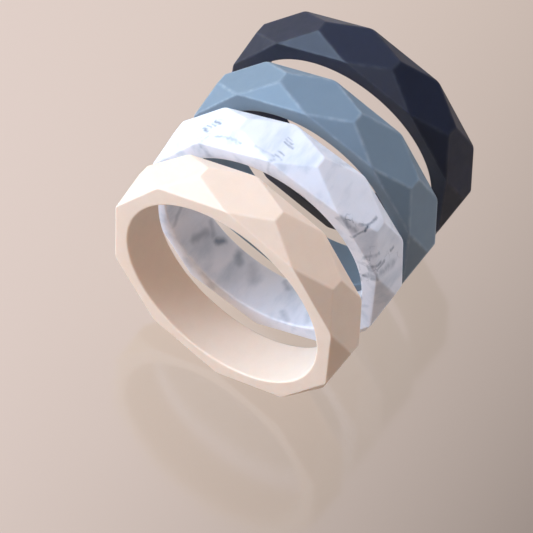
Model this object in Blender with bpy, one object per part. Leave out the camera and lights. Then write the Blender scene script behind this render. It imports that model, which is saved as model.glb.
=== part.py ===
"""Four faceted silicone rings standing on edge in a loose row.

Units are metres. The row runs along +Y, each ring stands on one of its facets at z = 0, and the
origin is at the bottom centre of the row. Every ring is one solid moulding of the same shape: a
decagonal band whose corners are cut away in front and behind, with a round bore through it.
"""

import math

import bmesh
import bpy

# Driving dimensions of one ring
FACETS = 10
CORNER_RADIUS = 0.040
WIDTH = 0.015
MID_EDGE = 0.0039
BORE_RADIUS = 0.032
FACET_ROUND = 0.0003
BORE_ROUND = 0.0006

# Fineness of the round work
BORE_STEPS = 8
ROUND_SEGMENTS = 2
SHARP_ANGLE = math.radians(12)

# Worked out from the driving dimensions
STEP = math.tau / FACETS
FLAT_RADIUS = CORNER_RADIUS * math.cos(STEP / 2)

# Name, sideways place, place along the row, and turn about the vertical in degrees
RINGS = (
    ("beige_ring", 0.0013, -0.0308, -1.4),
    ("marble_ring", 0.0004, -0.0098, 2.7),
    ("blue_ring", 0.0002, 0.0097, 0.0),
    ("navy_ring", -0.0013, 0.0317, 0.0),
)

# Name, colour and roughness of each ring's silicone
FINISHES = {
    "beige_ring": ((0.80, 0.61, 0.47, 1.0), 0.55),
    "marble_ring": ((0.84, 0.85, 0.88, 1.0), 0.45),
    "blue_ring": ((0.16, 0.24, 0.31, 1.0), 0.55),
    "navy_ring": ((0.012, 0.016, 0.028, 1.0), 0.50),
}


def clear_scene():
    """Remove every object, so that the model starts empty."""
    for thing in list(bpy.data.objects):
        bpy.data.objects.remove(thing, do_unlink=True)


def silicone(name):
    """A matte moulded silicone in the ring's own colour."""
    colour, roughness = FINISHES[name]
    material = bpy.data.materials.new(name)
    material.use_nodes = True
    shader = material.node_tree.nodes["Principled BSDF"]
    shader.inputs["Base Color"].default_value = colour
    shader.inputs["Roughness"].default_value = roughness
    shader.inputs["Metallic"].default_value = 0.0
    material.diffuse_color = colour
    return material


def loop_of_points(builder, count, radius, turn, depth):
    """A closed loop of points about the Y axis, counted from the top towards +X."""
    points = []
    for index in range(count):
        angle = math.tau * index / count + turn
        place = (radius * math.sin(angle), depth, radius * math.cos(angle))
        points.append(builder.verts.new(place))
    return points


def side_loops(builder, side):
    """The corners of one flat side (-1 front, 1 back), its mid corners, and its bore rim."""
    corners = loop_of_points(builder, FACETS, FLAT_RADIUS, 0.0, side * WIDTH / 2)
    mids = loop_of_points(builder, FACETS, CORNER_RADIUS, STEP / 2, side * MID_EDGE / 2)
    rim = loop_of_points(builder, FACETS * BORE_STEPS, BORE_RADIUS, 0.0, side * WIDTH / 2)
    return corners, mids, rim


def add_side_faces(builder, corners, mids, rim):
    """The flat side, cut into one plate per facet, and the triangles that lead to the mid corners."""
    for index in range(FACETS):
        following = (index + 1) % FACETS
        start = index * BORE_STEPS
        arc = [rim[(start + step) % len(rim)] for step in range(BORE_STEPS + 1)]
        builder.faces.new([corners[following], corners[index]] + arc)
        builder.faces.new([corners[index], corners[following], mids[index]])


def add_band_faces(builder, front, back):
    """The six-sided facets around the outside and the round wall of the bore."""
    front_corners, front_mids, front_rim = front
    back_corners, back_mids, back_rim = back
    for index in range(FACETS):
        before = index - 1
        outline = [front_corners[index], front_mids[index], back_mids[index]]
        outline += [back_corners[index], back_mids[before], front_mids[before]]
        builder.faces.new(outline)
    for index in range(len(front_rim)):
        before = index - 1
        wall = [front_rim[before], front_rim[index], back_rim[index], back_rim[before]]
        builder.faces.new(wall)


def weigh_edges(builder, rims):
    """Give each edge its share of the rounding: full at the bore rims, less between facets."""
    weight = builder.edges.layers.float.new("bevel_weight_edge")
    rim_points = [set(rim) for rim in rims]
    on_bore = set().union(*rim_points)
    for edge in builder.edges:
        ends = set(edge.verts)
        if any(ends <= rim for rim in rim_points):
            edge[weight] = 1.0
        elif not ends & on_bore:
            edge[weight] = FACET_ROUND / BORE_ROUND


def ring_mesh():
    """One ring about the Y axis, centred on the origin, with a facet at the bottom."""
    builder = bmesh.new()
    front = side_loops(builder, -1)
    back = side_loops(builder, 1)
    add_side_faces(builder, *front)
    add_side_faces(builder, *back)
    add_band_faces(builder, front, back)
    bmesh.ops.recalc_face_normals(builder, faces=builder.faces[:])
    weigh_edges(builder, (front[2], back[2]))
    mesh = bpy.data.meshes.new("faceted_ring")
    builder.to_mesh(mesh)
    builder.free()
    mesh.shade_smooth()
    mesh.set_sharp_from_angle(angle=SHARP_ANGLE)
    return mesh


def add_ring(name, sideways, along, turn, mesh):
    """Stand one ring on its lowest facet, turned as it stands in the row."""
    ring = bpy.data.objects.new(name, mesh)
    bpy.context.scene.collection.objects.link(ring)
    ring.location = (sideways, along, FLAT_RADIUS)
    ring.rotation_euler = (0.0, 0.0, math.radians(turn))
    ring.data.materials.append(silicone(name))
    rounding = ring.modifiers.new("rounding", "BEVEL")
    rounding.limit_method = "WEIGHT"
    rounding.offset_type = "OFFSET"
    rounding.width = BORE_ROUND
    rounding.segments = ROUND_SEGMENTS
    return ring


def main():
    clear_scene()
    for name, sideways, along, turn in RINGS:
        add_ring(name, sideways, along, turn, ring_mesh())


main()
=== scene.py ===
"""The looks of four faceted silicone rings standing in a row: fine meshes, materials, light and camera."""

import math

import bmesh
import bpy
from mathutils import Matrix, Vector


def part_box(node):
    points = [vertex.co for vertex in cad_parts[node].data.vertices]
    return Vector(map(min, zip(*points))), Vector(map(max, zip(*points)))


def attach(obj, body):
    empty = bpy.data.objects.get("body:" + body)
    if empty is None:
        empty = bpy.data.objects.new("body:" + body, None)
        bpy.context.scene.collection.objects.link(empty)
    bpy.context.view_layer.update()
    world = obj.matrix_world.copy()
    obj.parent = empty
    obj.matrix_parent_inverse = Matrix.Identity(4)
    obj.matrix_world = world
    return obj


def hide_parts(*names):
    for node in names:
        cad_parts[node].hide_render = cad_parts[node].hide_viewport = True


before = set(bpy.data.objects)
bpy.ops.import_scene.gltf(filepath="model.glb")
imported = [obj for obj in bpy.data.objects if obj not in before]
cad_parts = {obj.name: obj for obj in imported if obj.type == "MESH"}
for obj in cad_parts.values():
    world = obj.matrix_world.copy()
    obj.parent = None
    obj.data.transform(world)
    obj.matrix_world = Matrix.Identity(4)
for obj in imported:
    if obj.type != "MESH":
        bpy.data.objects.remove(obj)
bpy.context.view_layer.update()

# Shape of one ring, in metres, as its CAD solid has it
FACETS = 10
STEP = math.tau / FACETS
FLAT_RADIUS = (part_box("blue_ring")[1].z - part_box("blue_ring")[0].z) / 2
CORNER_RADIUS = FLAT_RADIUS / math.cos(STEP / 2)
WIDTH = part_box("blue_ring")[1].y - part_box("blue_ring")[0].y
MID_EDGE = 0.0039
BORE_RADIUS = 0.032
SIDE_RADIUS = FLAT_RADIUS * math.cos(STEP / 2)
SLANT = math.atan2(CORNER_RADIUS - SIDE_RADIUS, (WIDTH - MID_EDGE) / 2)

# Rounding of the moulded edges: at the bore, between facets, and around the flat sides
BORE_ROUND = 0.0006
FACET_ROUND = 0.00042
SIDE_ROUND = 0.0003
ROUND_SEGMENTS = 5
FLAT_WEIGHT = 70

# Steps in the bore's circle, for each facet
BORE_STEPS = 32

# Turn of each ring about the vertical, in degrees
TURNS = {"beige_ring": -1.4, "marble_ring": 2.7, "blue_ring": 0.0, "navy_ring": 0.0}

# Silicone colours
BEIGE = (0.84, 0.66, 0.515)
WHITE = (0.80, 0.79, 0.818)
BLUE = (0.192, 0.25, 0.298)
NAVY = (0.0115, 0.0165, 0.036)
CLOUD_GREY = (0.45, 0.495, 0.55)
VEIN_SLATE = (0.09, 0.13, 0.18)

# The silicone's surface: size of each grain in millimetres, and its depth in metres
MILLIMETRES = 1000.0
SURFACE_GRAINS = ((9.0, 0.000013), (1.4, 0.000005), (0.22, 0.000004))

# Sizes of the silicone's mottling, specks, rough patches, and rubbed patches that also carry a painted
# edge highlight, in millimetres
MOTTLE_GRAIN = 4.0
SPECK_GRAIN = 0.5
ROUGH_GRAIN = 3.0
RUB_GRAIN = 2.5

# Roughness of the silicone, how far it varies, how much rubbing smooths it, and how far from an edge
# the rubbing and the painted edge highlight reach, in millimetres
ROUGHNESS = 0.5
ROUGH_SPREAD = 0.04
RUB_SMOOTHING = 0.06
EDGE_REACH = 0.6
SILICONE_IOR = 1.41
SHEEN_ROUGHNESS = 0.4

# Marble veins on the outside: start and end as (degrees from the top towards +X, millimetres from the
# middle towards the back, going on over the edges onto the flat sides), width in millimetres, strength
OUTER_VEINS = [
    ((-38.2, -1.4), (-34.5, -2.8), 1.0, 0.75),
    ((-37.4, -0.4), (-33.6, -1.6), 0.6, 0.60),
    ((-36.4, 0.5), (-32.4, -0.8), 0.7, 0.60),
    ((-35.2, 1.4), (-30.8, 0.1), 1.0, 0.75),
    ((-33.6, 2.2), (-30.6, 1.4), 0.5, 0.35),
    ((-34.4, -3.6), (-31.6, -4.2), 0.5, 0.35),
    ((-40.0, -6.5), (-36.0, -5.6), 1.1, 0.30),
    ((-34.5, -7.5), (-32.0, -5.6), 1.1, 0.40),
    ((-28.0, -5.2), (-21.0, -4.7), 0.6, 0.50),
    ((-21.0, -4.7), (-15.0, -5.1), 0.6, 0.45),
    ((-8.5, -5.0), (1.0, -5.3), 0.8, 0.30),
    ((0.5, -7.5), (2.0, -6.2), 0.8, 0.40),
    ((1.0, -4.4), (4.5, -5.1), 0.6, 0.45),
    ((1.5, -2.8), (4.0, -3.4), 0.6, 0.55),
    ((0.8, 0.6), (4.9, -0.3), 0.8, 0.60),
    ((0.2, 1.8), (3.6, 1.1), 0.7, 0.50),
    ((0.6, 2.8), (3.0, 2.2), 0.5, 0.40),
    ((38.5, -7.4), (47.5, -6.4), 1.0, 0.50),
    ((49.0, -7.5), (50.0, -4.6), 0.8, 0.60),
    ((50.2, -4.8), (49.4, -3.0), 0.8, 1.00),
    ((46.2, -4.8), (49.6, -3.2), 0.7, 0.75),
    ((49.8, -3.0), (50.4, 1.2), 0.7, 0.65),
    ((61.5, -7.5), (63.0, -4.0), 1.0, 0.50),
    ((66.0, -7.5), (68.0, -4.5), 0.9, 0.65),
    ((69.2, -6.2), (69.8, -2.8), 0.9, 0.60),
    ((73.0, -5.5), (75.5, 1.0), 2.2, 0.42),
    ((68.3, 1.2), (69.0, 2.7), 0.9, 0.70),
    ((66.0, -7.5), (74.0, -7.4), 1.2, 0.60),
    ((71.5, -7.6), (73.0, -9.0), 1.5, 0.60),
    ((73.0, -9.2), (73.5, -10.2), 1.0, 0.75),
    ((65.0, -8.5), (64.5, -10.5), 1.2, 0.25),
    ((95.0, -9.0), (99.0, -11.5), 1.2, 0.25),
    ((-33.5, -8.0), (-33.0, -11.5), 1.8, 0.35),
    ((0.5, -8.0), (1.5, -11.0), 1.0, 0.22),
    ((-154.0, -8.5), (-152.5, -12.0), 2.0, 0.30),
    ((24.0, 4.0), (31.0, 9.5), 1.2, 0.25),
]

# Marble veins in the bore: the same, but in degrees from the bottom towards -X
BORE_VEINS = [
    ((22.8, 3.1), (25.2, 4.6), 2.6, 0.45),
    ((36.6, 4.8), (39.2, 3.1), 2.2, 0.72),
    ((50.5, -2.5), (47.0, 2.0), 2.8, 0.42),
    ((12.0, 1.0), (15.5, 5.0), 3.4, 0.25),
    ((43.0, 3.4), (49.0, 5.6), 2.0, 0.30),
    ((-6.0, 4.2), (-3.0, 6.0), 1.8, 0.35),
    ((-17.0, -6.6), (-12.0, -4.0), 1.8, 0.25),
    ((-29.0, -5.0), (-24.0, 0.5), 2.2, 0.22),
    ((66.0, -6.0), (72.0, 0.0), 1.6, 0.30),
]

# Grey clouds in the bore, listed as its veins are
BORE_CLOUDS = [
    ((52.0, -6.0), (38.0, 5.0), 9.0, 0.40),
    ((20.0, -3.0), (24.0, 6.0), 6.0, 0.35),
]

# Patches of fine cracks on the outside, listed as its veins are
CRACK_PATCHES = [
    ((41.0, -6.5), (49.5, -4.0), 2.6, 0.90),
    ((63.0, -5.5), (72.0, -9.0), 4.5, 1.00),
    ((68.0, -2.0), (75.0, 3.0), 3.0, 0.45),
    ((-37.0, -2.0), (-31.0, 0.0), 2.0, 0.50),
]

# Waviness of the veins, and how deep below the bore's wall its own veins go, in millimetres
SWAY_GRAIN = 3.0
SWAY_REACH = 2.2
BORE_VEIN_DEPTH = 0.5

# Faint clouds: their size in millimetres, how far they stretch along the bore, and how grey they get
CLOUD_GRAIN = 4.5
CLOUD_STRETCH = 0.35
CLOUD_SHARE = 0.50

# Brush marks that break the veins up: size in millimetres, stretch round the ring, and slant
BRUSH_GRAIN = 0.7
BRUSH_STRETCH = 0.25
BRUSH_SLANT = 0.25

# Fine cracks: size of the cells between them and their width in millimetres, and their strength
CRACK_GRAIN = 3.2
CRACK_WIDTH = 0.18
CRACK_SHARE = 0.70

# Guessed veins, where the photograph doesn't show the ring: size of their loops in millimetres, width
# as a share of the noise, and strength
VEIN_GRAIN = 10.0
VEIN_REACH = 0.035
VEIN_SHARE = 0.65
VEIN_PATCHES = 6.0

# Where the guessed veins fade in, in millimetres from the ring's middle: towards the camera's side for
# the outside and for the bore, and along the bore from the front face
SEEN_TURN = math.radians(20.0)
OUTSIDE_FADE = (6.0, -8.0)
BORE_FADE = (-22.0, -12.0)
FRONT_FADE = (-7.45, -7.1)

# Soft light panels: degrees round from the front, degrees up, watts, colour, and whether gloss shows
# them
COOL = (0.58, 0.75, 1.0)
PALE_BLUE = (0.87, 0.95, 1.0)
PALE_GREEN = (0.85, 0.95, 0.75)
WARM = (1.0, 0.87, 0.84)
PANELS = {
    "key_left_high": (300.0, 49.0, 16.3, COOL, True),
    "key_front_left": (315.0, 18.0, 12.0, COOL, True),
    "key_left_low": (270.0, 18.0, 4.2, PALE_GREEN, True),
    "fill_front": (0.0, 45.0, 4.0, WARM, True),
    "fill_right": (120.0, 15.0, 5.0, COOL, False),
    "fill_back_low": (150.0, 15.0, 3.9, WARM, False),
    "fill_back_high": (175.0, 55.0, 3.8, PALE_BLUE, False),
}
PANEL_AIM = Vector((0.0, 0.0, 0.03))
PANEL_DISTANCE = 1.3
PANEL_SIZE = 0.7

# Light from all round, and a wide soft glow in it that the floor mirrors towards the camera
AMBIENT = (0.12, 0.096, 0.08)
GLOW_COLOUR = (1.5, 1.4, 1.8)
GLOW_AZIMUTH = 236.0
GLOW_ELEVATION = 50.0
GLOW_FOCUS = 20.0

# The table top carries painted light: it glows, most at its left and dimming to the right, in place of
# lamplight falling on it, and takes little light from above
FLOOR_REACH = 3.0
FLOOR_TAN = (0.09, 0.065, 0.045)
FLOOR_ROUGHNESS = 0.12
FLOOR_PAINTED_LIGHT = (0.605, 0.505, 0.44)
FLOOR_BRIGHT_END = -0.15
FLOOR_DIM_END = 0.12
FLOOR_PEAK = 1.045
FLOOR_FALL = 0.65
FLOOR_POWER = 2.5

# Camera: the point on the floor that it looks at, degrees round from the front and up, its roll, its
# distance in metres, and its lens and sensor in millimetres
LOOK_AT = Vector((-0.0081, 0.0016, 0.0))
AZIMUTH = 30.2
ELEVATION = 53.6
ROLL = math.radians(4.35)
DISTANCE = 0.860
LENS = 197.0
SENSOR = 36.0
FAR_CLIP = 10.0


# ---------------------------------------------------------------- shapes

def ring_centre(node):
    """Centre of a ring's bore, read from its CAD node."""
    low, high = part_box(node)
    return (low + high) / 2


def loop_of_points(builder, count, radius, turn, depth):
    """A closed loop of points about the Y axis, counted from the top towards +X."""
    points = []
    for index in range(count):
        angle = math.tau * index / count + turn
        place = (radius * math.sin(angle), depth, radius * math.cos(angle))
        points.append(builder.verts.new(place))
    return points


def side_loops(builder, side):
    """The corners of one flat side (-1 front, 1 back), its mid corners, and its bore rim."""
    corners = loop_of_points(builder, FACETS, FLAT_RADIUS, 0.0, side * WIDTH / 2)
    mids = loop_of_points(builder, FACETS, CORNER_RADIUS, STEP / 2, side * MID_EDGE / 2)
    rim = loop_of_points(builder, FACETS * BORE_STEPS, BORE_RADIUS, 0.0, side * WIDTH / 2)
    return corners, mids, rim


def add_side_faces(builder, corners, mids, rim):
    """The flat side, cut into one plate per facet, and the triangles that lead to the mid corners."""
    for index in range(FACETS):
        following = (index + 1) % FACETS
        start = index * BORE_STEPS
        arc = [rim[(start + step) % len(rim)] for step in range(BORE_STEPS + 1)]
        builder.faces.new([corners[following], corners[index]] + arc)
        builder.faces.new([corners[index], corners[following], mids[index]])


def add_band_faces(builder, front, back):
    """The six-sided facets around the outside and the round wall of the bore."""
    front_corners, front_mids, front_rim = front
    back_corners, back_mids, back_rim = back
    for index in range(FACETS):
        before = index - 1
        outline = [front_corners[index], front_mids[index], back_mids[index]]
        outline += [back_corners[index], back_mids[before], front_mids[before]]
        builder.faces.new(outline)
    for index in range(len(front_rim)):
        before = index - 1
        wall = [front_rim[before], front_rim[index], back_rim[index], back_rim[before]]
        builder.faces.new(wall)


def weigh_edges(builder, sides):
    """Give each edge its share of the widest rounding, which is the bore rim's."""
    weight = builder.edges.layers.float.new("bevel_weight_edge")
    rims = [set(side[2]) for side in sides]
    outlines = [set(side[0]) for side in sides]
    on_bore = set().union(*rims)
    for edge in builder.edges:
        ends = set(edge.verts)
        if any(ends <= rim for rim in rims):
            edge[weight] = 1.0
        elif any(ends <= outline for outline in outlines):
            edge[weight] = SIDE_ROUND / BORE_ROUND
        elif not ends & on_bore:
            edge[weight] = FACET_ROUND / BORE_ROUND


def ring_mesh(name, place):
    """One ring with its points at their places in the row."""
    builder = bmesh.new()
    front = side_loops(builder, -1)
    back = side_loops(builder, 1)
    add_side_faces(builder, *front)
    add_side_faces(builder, *back)
    add_band_faces(builder, front, back)
    bmesh.ops.recalc_face_normals(builder, faces=builder.faces[:])
    weigh_edges(builder, (front, back))
    mesh = bpy.data.meshes.new(name)
    builder.to_mesh(mesh)
    builder.free()
    mesh.transform(place)
    mesh.shade_smooth()
    return mesh


def add_ring(name, node, material):
    """A ring with softly rounded moulded edges, standing where its CAD node stands."""
    place = Matrix.Translation(ring_centre(node)) @ Matrix.Rotation(math.radians(TURNS[node]), 4, "Z")
    ring = bpy.data.objects.new(name, ring_mesh(name, place))
    bpy.context.scene.collection.objects.link(ring)
    ring.data.materials.append(material)
    rounding = ring.modifiers.new("rounding", "BEVEL")
    rounding.limit_method = "WEIGHT"
    rounding.width = BORE_ROUND
    rounding.segments = ROUND_SEGMENTS
    flats = ring.modifiers.new("flat_facets", "WEIGHTED_NORMAL")
    flats.weight = FLAT_WEIGHT
    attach(ring, node)
    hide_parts(node)
    return ring


# ---------------------------------------------------------------- nodes

def feed(tree, socket, value):
    """Link a socket to another node's output, or give it a fixed value."""
    if isinstance(value, bpy.types.NodeSocket):
        tree.links.new(value, socket)
    else:
        socket.default_value = value


def in_use(sockets):
    """The sockets that a node shows in its present mode."""
    return [socket for socket in sockets if socket.enabled]


def maths(tree, operation, *values):
    """A Math node; its result."""
    node = tree.nodes.new("ShaderNodeMath")
    node.operation = operation
    for socket, value in zip(node.inputs, values):
        feed(tree, socket, value)
    return node.outputs["Value"]


def vector_maths(tree, operation, *values):
    """A Vector Math node; its result, which is a vector or a number."""
    node = tree.nodes.new("ShaderNodeVectorMath")
    node.operation = operation
    for socket, value in zip(node.inputs, values):
        feed(tree, socket, value)
    return in_use(node.outputs)[0]


def scaled(tree, vector, factor):
    """A vector times a number."""
    node = tree.nodes.new("ShaderNodeVectorMath")
    node.operation = "SCALE"
    feed(tree, node.inputs["Vector"], vector)
    feed(tree, node.inputs["Scale"], factor)
    return node.outputs["Vector"]


def smooth_range(tree, value, low, high, out_low=0.0, out_high=1.0):
    """A value taken smoothly from one range to another, and held at its ends."""
    node = tree.nodes.new("ShaderNodeMapRange")
    node.interpolation_type = "SMOOTHSTEP"
    node.clamp = False
    feed(tree, node.inputs["Value"], value)
    feed(tree, node.inputs["From Min"], low)
    feed(tree, node.inputs["From Max"], high)
    feed(tree, node.inputs["To Min"], out_low)
    feed(tree, node.inputs["To Max"], out_high)
    return node.outputs["Result"]


def noise(tree, place, grain, detail=2.0, shift=0.0):
    """Noise with grains of a given size in millimetres; its number from 0 to 1 and its colour."""
    node = tree.nodes.new("ShaderNodeTexNoise")
    node.noise_dimensions = "4D"
    feed(tree, node.inputs["Vector"], place)
    feed(tree, node.inputs["W"], shift)
    feed(tree, node.inputs["Scale"], 1.0 / grain)
    feed(tree, node.inputs["Detail"], detail)
    return node.outputs["Fac"], node.outputs["Color"]


def mixed(tree, factor, first, second, blend="MIX"):
    """Two colours mixed by a factor."""
    node = tree.nodes.new("ShaderNodeMix")
    node.data_type = "RGBA"
    node.blend_type = blend
    for socket, value in zip(in_use(node.inputs), (factor, first, second)):
        feed(tree, socket, (*value, 1.0) if isinstance(value, tuple) else value)
    return in_use(node.outputs)[0]


def mixed_number(tree, factor, first, second):
    """Two numbers mixed by a factor."""
    node = tree.nodes.new("ShaderNodeMix")
    for socket, value in zip(in_use(node.inputs), (factor, first, second)):
        feed(tree, socket, value)
    return in_use(node.outputs)[0]


def separated(tree, vector):
    """The three numbers of a vector."""
    node = tree.nodes.new("ShaderNodeSeparateXYZ")
    feed(tree, node.inputs["Vector"], vector)
    return node.outputs["X"], node.outputs["Y"], node.outputs["Z"]


def combined(tree, x, y, z=0.0):
    """A vector from three numbers."""
    node = tree.nodes.new("ShaderNodeCombineXYZ")
    for socket, value in zip(node.inputs, (x, y, z)):
        feed(tree, socket, value)
    return node.outputs["Vector"]


def new_group(name, takes, gives):
    """An empty node group with its sockets; the tree, its input and its output nodes."""
    tree = bpy.data.node_groups.new(name, "ShaderNodeTree")
    for label, kind in takes:
        tree.interface.new_socket(label, in_out="INPUT", socket_type=kind)
    tree.interface.new_socket(gives, in_out="OUTPUT", socket_type="NodeSocketFloat")
    return tree, tree.nodes.new("NodeGroupInput").outputs, tree.nodes.new("NodeGroupOutput").inputs


def from_group(tree, group, **values):
    """The result of a node group that is given these values."""
    node = tree.nodes.new("ShaderNodeGroup")
    node.node_tree = group
    for label, value in values.items():
        feed(tree, node.inputs[label], value)
    return node.outputs[0]


def edge_group():
    """How far a point on a ring is from the nearest moulded edge, in millimetres.

    A ring is what lies inside all its facet planes, so on the surface the nearest plane is the facet
    itself, and the second nearest one meets it at the nearest edge.
    """
    tree, given, result = new_group("edge_distance", [("Place", "NodeSocketVector")], "Distance")
    x, y, z = separated(tree, given["Place"])
    radius = vector_maths(tree, "LENGTH", combined(tree, x, z))
    turns = maths(tree, "DIVIDE", maths(tree, "ARCTAN2", x, z), STEP)
    off_turns = maths(tree, "ABSOLUTE", maths(tree, "SUBTRACT", turns, maths(tree, "ROUND", turns)))
    off = maths(tree, "MULTIPLY", off_turns, STEP)
    depth = maths(tree, "ABSOLUTE", y)

    def reach(turn):
        """Radius measured along the direction that is a given turn from the facet's middle."""
        return maths(tree, "MULTIPLY", radius, maths(tree, "COSINE", maths(tree, "SUBTRACT", turn, off)))

    flat = FLAT_RADIUS * MILLIMETRES
    slant_in = maths(tree, "SUBTRACT", CORNER_RADIUS * MILLIMETRES, reach(STEP / 2))
    slant_along = maths(tree, "SUBTRACT", depth, MID_EDGE * MILLIMETRES / 2)
    slant_drop = maths(tree, "MULTIPLY", slant_along, math.sin(SLANT))
    planes = [
        maths(tree, "SUBTRACT", flat, reach(0.0)),
        maths(tree, "SUBTRACT", flat, reach(STEP)),
        maths(tree, "SUBTRACT", maths(tree, "MULTIPLY", slant_in, math.cos(SLANT)), slant_drop),
        maths(tree, "SUBTRACT", WIDTH * MILLIMETRES / 2, depth),
        maths(tree, "SUBTRACT", radius, BORE_RADIUS * MILLIMETRES),
    ]
    nearest = planes[0]
    second = WIDTH * MILLIMETRES
    for plane in planes[1:]:
        second = maths(tree, "MINIMUM", second, maths(tree, "MAXIMUM", nearest, plane))
        nearest = maths(tree, "MINIMUM", nearest, plane)
    feed(tree, result["Distance"], second)
    return tree


def vein_group():
    """How strong one vein is at a place: strongest along a straight stroke, fading to its width."""
    takes = [("Place", "NodeSocketVector"), ("Start", "NodeSocketVector"), ("Span", "NodeSocketVector")]
    takes += [("Width", "NodeSocketFloat"), ("Strength", "NodeSocketFloat")]
    tree, given, result = new_group("vein", takes, "Vein")
    offset = vector_maths(tree, "SUBTRACT", given["Place"], given["Start"])
    along = vector_maths(tree, "DOT_PRODUCT", offset, given["Span"])
    length = vector_maths(tree, "DOT_PRODUCT", given["Span"], given["Span"])
    share = maths(tree, "MINIMUM", maths(tree, "MAXIMUM", maths(tree, "DIVIDE", along, length), 0.0), 1.0)
    away = vector_maths(tree, "DISTANCE", offset, scaled(tree, given["Span"], share))
    profile = smooth_range(tree, away, given["Width"], 0.0)
    feed(tree, result["Vein"], maths(tree, "MULTIPLY", profile, given["Strength"]))
    return tree


EDGE_GROUP = edge_group()
VEIN_GROUP = vein_group()


# ---------------------------------------------------------------- materials

def new_material(name):
    """An empty node material; the material, its tree and its shader's sockets."""
    material = bpy.data.materials.new(name)
    material.use_nodes = True
    tree = material.node_tree
    return material, tree, tree.nodes["Principled BSDF"].inputs


def ring_place(tree, node):
    """The place on a ring in millimetres from its own centre, with its own turn taken out."""
    mapping = tree.nodes.new("ShaderNodeMapping")
    mapping.vector_type = "TEXTURE"
    mapping.inputs["Location"].default_value = ring_centre(node)
    mapping.inputs["Rotation"].default_value = (0.0, 0.0, math.radians(TURNS[node]))
    feed(tree, mapping.inputs["Vector"], tree.nodes.new("ShaderNodeTexCoord").outputs["Object"])
    return scaled(tree, mapping.outputs["Vector"], MILLIMETRES)


def silicone_bump(tree, place, seed):
    """Fine satin grain over a faint unevenness of the mould."""
    normal = None
    for grain, depth in SURFACE_GRAINS:
        bump = tree.nodes.new("ShaderNodeBump")
        bump.inputs["Distance"].default_value = depth
        feed(tree, bump.inputs["Height"], noise(tree, place, grain, shift=seed)[0])
        if normal is not None:
            feed(tree, bump.inputs["Normal"], normal)
        normal = bump.outputs["Normal"]
    return normal


def edge_rub_and_highlight(tree, place, seed):
    """Broken rubbing along the moulded edges, from 0 to 1, which also places a painted highlight there."""
    distance = from_group(tree, EDGE_GROUP, Place=place)
    rub = smooth_range(tree, distance, EDGE_REACH, 0.0)
    patches = smooth_range(tree, noise(tree, place, RUB_GRAIN, 3.0, seed)[0], 0.35, 0.7, 0.25, 1.0)
    return maths(tree, "MULTIPLY", rub, patches)


def silicone(name, node, colour, seed, glow, rub_and_highlight_paleness, gloss, sheen):
    """Matte silicone: even moulded colour, faint mottling, edges paled by rubbing and by a painted
    highlight, and a soft glow below the skin.

    colour is a plain colour or a function that makes one, glow is how far light spreads inside it, in
    metres, rub_and_highlight_paleness how pale its edges are made, partly for rubbing and partly as a
    painted highlight, gloss how strongly its skin shines, and sheen how much of a powdery bloom it has.
    """
    material, tree, shader = new_material(name)
    place = ring_place(tree, node)
    if not isinstance(colour, tuple):
        colour = colour(tree, place)
    mottle = noise(tree, place, MOTTLE_GRAIN, 4.0, seed + 1)[0]
    mottle = smooth_range(tree, mottle, 0.3, 0.7, 0.975, 1.0)
    speck = noise(tree, place, SPECK_GRAIN, 2.0, seed + 2)[0]
    speck = smooth_range(tree, speck, 0.25, 0.75, 0.985, 1.0)
    shade = maths(tree, "MULTIPLY", mottle, speck)
    toned = mixed(tree, 1.0, colour, combined(tree, shade, shade, shade), "MULTIPLY")
    rub_and_highlight = edge_rub_and_highlight(tree, place, seed + 3)
    # Painted highlight and wear: the edges are paled towards white, partly as rubbing and partly as a
    # painted highlight along them
    paled_for_rub_and_highlight = mixed(tree, 0.5, toned, (1.0, 1.0, 1.0))
    rubbed_and_highlit = mixed(tree, maths(tree, "MULTIPLY", rub_and_highlight, rub_and_highlight_paleness), toned, paled_for_rub_and_highlight)
    feed(tree, shader["Base Color"], rubbed_and_highlit)
    rough = noise(tree, place, ROUGH_GRAIN, 3.0, seed + 4)[0]
    rough = smooth_range(tree, rough, 0.3, 0.7, -ROUGH_SPREAD, ROUGH_SPREAD)
    smoothed = maths(tree, "MULTIPLY_ADD", rub_and_highlight, -RUB_SMOOTHING, ROUGHNESS)
    feed(tree, shader["Roughness"], maths(tree, "ADD", smoothed, rough))
    feed(tree, shader["Normal"], silicone_bump(tree, place, seed + 5))
    shader["IOR"].default_value = SILICONE_IOR
    shader["Subsurface Weight"].default_value = 1.0
    shader["Subsurface Radius"].default_value = glow
    shader["Subsurface Scale"].default_value = 1.0
    shader["Specular IOR Level"].default_value = gloss
    shader["Sheen Weight"].default_value = sheen
    shader["Sheen Roughness"].default_value = SHEEN_ROUGHNESS
    return material


def all_veins(tree, place, veins):
    """The strongest of the listed veins at a place, given as degrees and millimetres."""
    strongest = 0.0
    arc = math.radians(FLAT_RADIUS * MILLIMETRES)
    for (start_turn, start_depth), (end_turn, end_depth), width, strength in veins:
        start = (start_turn * arc, start_depth, 0.0)
        span = ((end_turn - start_turn) * arc, end_depth - start_depth, 0.0)
        vein = from_group(tree, VEIN_GROUP, Place=place, Start=start, Span=span, Width=width,
                          Strength=strength)
        strongest = maths(tree, "MAXIMUM", strongest, vein)
    return strongest


def arc_length(tree, across, up):
    """How far round the ring a place is, in millimetres at the facets' middle radius."""
    return maths(tree, "MULTIPLY", maths(tree, "ARCTAN2", across, up), FLAT_RADIUS * MILLIMETRES)


def brushed(tree, around, depth):
    """Slanting brush marks that break up a vein, from faint between them to 1 on them."""
    slanted = maths(tree, "MULTIPLY_ADD", around, BRUSH_SLANT, depth)
    along = maths(tree, "MULTIPLY", around, BRUSH_STRETCH)
    marks = noise(tree, combined(tree, along, slanted), BRUSH_GRAIN, 2.0, 3.0)[0]
    return smooth_range(tree, marks, 0.35, 0.60, 0.60, 1.0)


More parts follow.
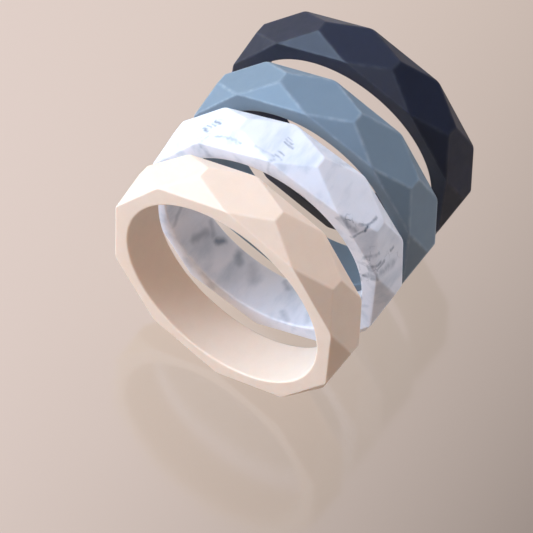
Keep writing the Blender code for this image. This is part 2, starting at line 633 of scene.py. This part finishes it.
def cracks(tree, place):
    """A network of fine cracks, from 0 between them to 1 on them."""
    cells = tree.nodes.new("ShaderNodeTexVoronoi")
    cells.feature = "DISTANCE_TO_EDGE"
    feed(tree, cells.inputs["Vector"], place)
    feed(tree, cells.inputs["Scale"], 1.0 / CRACK_GRAIN)
    faded = noise(tree, place, 2.0, 2.0, 9.0)[0]
    line = smooth_range(tree, cells.outputs["Distance"], CRACK_WIDTH / CRACK_GRAIN, 0.0)
    return maths(tree, "MULTIPLY", line, smooth_range(tree, faded, 0.35, 0.6))


def guessed_veins(tree, place, moved, in_bore):
    """Thin winding veins on the surfaces that the photograph doesn't show, from 0 to their strength."""
    x, y, z = separated(tree, place)
    leftward = maths(tree, "MULTIPLY", x, math.sin(SEEN_TURN))
    upward = maths(tree, "MULTIPLY_ADD", z, math.cos(SEEN_TURN), leftward)
    outside = maths(tree, "MULTIPLY", smooth_range(tree, upward, *OUTSIDE_FADE),
                    smooth_range(tree, y, *FRONT_FADE))
    unseen = mixed_number(tree, in_bore, outside, smooth_range(tree, upward, *BORE_FADE))
    loops = maths(tree, "SUBTRACT", noise(tree, moved, VEIN_GRAIN, 1.0, 12.0)[0], 0.5)
    line = smooth_range(tree, maths(tree, "ABSOLUTE", loops), VEIN_REACH, 0.0)
    faded = noise(tree, place, VEIN_PATCHES, 2.0, 14.0)[0]
    faded = smooth_range(tree, faded, 0.40, 0.62, 0.0, VEIN_SHARE)
    return maths(tree, "MULTIPLY", unseen, maths(tree, "MULTIPLY", line, faded))


def marble(tree, place):
    """White silicone with slate veins, fine cracks and grey clouds stirred into it."""
    x, y, z = separated(tree, place)
    sway = noise(tree, place, SWAY_GRAIN, 2.0, 7.0)[1]
    sway = scaled(tree, vector_maths(tree, "SUBTRACT", sway, (0.5, 0.5, 0.5)), SWAY_REACH)
    radius = vector_maths(tree, "LENGTH", combined(tree, x, z))
    bore_skin = BORE_RADIUS * MILLIMETRES + BORE_VEIN_DEPTH
    in_bore = smooth_range(tree, radius, bore_skin + BORE_VEIN_DEPTH, bore_skin)
    inset = maths(tree, "MAXIMUM", maths(tree, "SUBTRACT", SIDE_RADIUS * MILLIMETRES, radius), 0.0)
    depth = maths(tree, "MULTIPLY_ADD", maths(tree, "SIGN", y), inset, y)
    around = arc_length(tree, x, z)
    below = arc_length(tree, maths(tree, "MULTIPLY", x, -1.0), maths(tree, "MULTIPLY", z, -1.0))
    outside = vector_maths(tree, "ADD", combined(tree, around, depth), sway)
    inside = vector_maths(tree, "ADD", combined(tree, below, y), sway)
    outer = maths(tree, "MULTIPLY", all_veins(tree, outside, OUTER_VEINS), brushed(tree, around, depth))
    moved = vector_maths(tree, "ADD", place, sway)
    lines = cracks(tree, moved)
    lines = maths(tree, "MULTIPLY", lines, all_veins(tree, outside, CRACK_PATCHES))
    outer = maths(tree, "MAXIMUM", outer, maths(tree, "MULTIPLY", lines, CRACK_SHARE))
    veins = mixed_number(tree, in_bore, outer, all_veins(tree, inside, BORE_VEINS))
    veins = maths(tree, "MAXIMUM", veins, guessed_veins(tree, place, moved, in_bore))
    drawn_out = combined(tree, x, maths(tree, "MULTIPLY", y, CLOUD_STRETCH), z)
    clouds = noise(tree, drawn_out, CLOUD_GRAIN, 4.0, 5.0)[0]
    clouds = smooth_range(tree, clouds, 0.45, 0.75, 0.0, CLOUD_SHARE)
    clouds = maths(tree, "MULTIPLY_ADD", all_veins(tree, inside, BORE_CLOUDS), in_bore, clouds)
    clouded = mixed(tree, clouds, WHITE, CLOUD_GREY)
    return mixed(tree, veins, clouded, VEIN_SLATE)


def add_floor():
    """A pale, smooth, softly glossy table top with painted light: it glows, brightest at its left, in
    place of lamplight on it.
    """
    mesh = bpy.data.meshes.new("floor")
    reach = FLOOR_REACH
    corners = [(-reach, -reach, 0.0), (reach, -reach, 0.0), (reach, reach, 0.0), (-reach, reach, 0.0)]
    mesh.from_pydata(corners, [], [(0, 1, 2, 3)])
    floor = bpy.data.objects.new("floor", mesh)
    bpy.context.scene.collection.objects.link(floor)
    material, tree, shader = new_material("floor")
    shader["Base Color"].default_value = (*FLOOR_TAN, 1.0)
    shader["Roughness"].default_value = FLOOR_ROUGHNESS
    shader["Specular IOR Level"].default_value = 1.0
    # Painted light: the table top's glow stands in for the lamps' light on it and its fall-off, so it
    # shows almost no shadows
    shader["Emission Color"].default_value = (*FLOOR_PAINTED_LIGHT, 1.0)
    x = separated(tree, tree.nodes.new("ShaderNodeTexCoord").outputs["Object"])[0]
    reached = tree.nodes.new("ShaderNodeMapRange")
    feed(tree, reached.inputs["Value"], x)
    reached.inputs["From Min"].default_value = FLOOR_BRIGHT_END
    reached.inputs["From Max"].default_value = FLOOR_DIM_END
    # The painted light dims towards +X, as light from a lamp at the left would
    fall = maths(tree, "POWER", reached.outputs["Result"], FLOOR_POWER)
    glow = maths(tree, "MULTIPLY_ADD", fall, -FLOOR_PEAK * FLOOR_FALL, FLOOR_PEAK)
    feed(tree, shader["Emission Strength"], glow)
    mesh.materials.append(material)


# ---------------------------------------------------------------- light and camera

def direction(azimuth, elevation):
    """The direction to a place that is azimuth degrees round from the front and elevation degrees up."""
    turn = math.radians(azimuth)
    rise = math.radians(elevation)
    return Vector((math.sin(turn) * math.cos(rise), -math.cos(turn) * math.cos(rise), math.sin(rise)))


def add_panel(name, lit, azimuth, elevation, watts, colour, glossy):
    """A square soft light that faces the rings, lights only them and isn't seen by the camera itself."""
    data = bpy.data.lights.new(name, "AREA")
    data.shape = "SQUARE"
    data.size = PANEL_SIZE
    data.energy = watts
    data.color = colour
    panel = bpy.data.objects.new(name, data)
    bpy.context.scene.collection.objects.link(panel)
    back = direction(azimuth, elevation)
    aim = back.to_track_quat("Z", "Y").to_matrix().to_4x4()
    panel.matrix_world = Matrix.Translation(PANEL_AIM + back * PANEL_DISTANCE) @ aim
    panel.visible_camera = False
    panel.visible_glossy = glossy
    panel.light_linking.receiver_collection = lit


def add_world():
    """A faint warm light from all round, with a soft glow on one side."""
    world = bpy.data.worlds.new("studio")
    bpy.context.scene.world = world
    world.use_nodes = True
    tree = world.node_tree
    ambient = tree.nodes["Background"]
    ambient.inputs["Color"].default_value = (*AMBIENT, 1.0)
    ways = tree.nodes.new("ShaderNodeTexCoord").outputs["Generated"]
    towards = vector_maths(tree, "DOT_PRODUCT", ways, direction(GLOW_AZIMUTH, GLOW_ELEVATION))
    glow = tree.nodes.new("ShaderNodeBackground")
    glow.inputs["Color"].default_value = (*GLOW_COLOUR, 1.0)
    ahead = maths(tree, "MAXIMUM", towards, 0.0)
    feed(tree, glow.inputs["Strength"], maths(tree, "POWER", ahead, GLOW_FOCUS))
    both = tree.nodes.new("ShaderNodeAddShader")
    feed(tree, both.inputs[0], ambient.outputs["Background"])
    feed(tree, both.inputs[1], glow.outputs["Background"])
    feed(tree, tree.nodes["World Output"].inputs["Surface"], both.outputs["Shader"])


def add_camera():
    """The camera, at the photograph's viewing angle."""
    back = direction(AZIMUTH, ELEVATION)
    data = bpy.data.cameras.new("camera")
    data.lens = LENS
    data.sensor_width = SENSOR
    data.clip_end = FAR_CLIP
    camera = bpy.data.objects.new("camera", data)
    bpy.context.scene.collection.objects.link(camera)
    aim = back.to_track_quat("Z", "Y").to_matrix().to_4x4()
    place = Matrix.Translation(LOOK_AT + back * DISTANCE)
    camera.matrix_world = place @ aim @ Matrix.Rotation(ROLL, 4, "Z")
    bpy.context.scene.camera = camera


# Each ring: its colour's name, the colour or what makes it, the seed of its noise, how far light
# spreads in it, how pale its edges are made for rubbing and as a painted highlight, its gloss and its
# sheen
RINGS = (
    ("beige", BEIGE, 10.0, (0.0009, 0.0007, 0.0006), 0.10, 0.30, 0.03),
    ("marble", marble, 20.0, (0.0016, 0.0014, 0.0013), 0.08, 0.30, 0.03),
    ("blue", BLUE, 30.0, (0.0004, 0.0005, 0.0006), 0.25, 0.5, 0.16),
    ("navy", NAVY, 40.0, (0.0001, 0.0001, 0.0002), 0.05, 0.6, 0.1),
)

lit_rings = bpy.data.collections.new("lit_rings")
for tint, *finish in RINGS:
    node_name = tint + "_ring"
    made_of = silicone(tint + "_silicone", node_name, *finish)
    lit_rings.objects.link(add_ring(tint + "_faceted_ring", node_name, made_of))
add_floor()
for panel_name, panel in PANELS.items():
    add_panel(panel_name, lit_rings, *panel)
add_world()
add_camera()
bpy.context.scene.view_settings.view_transform = "Standard"
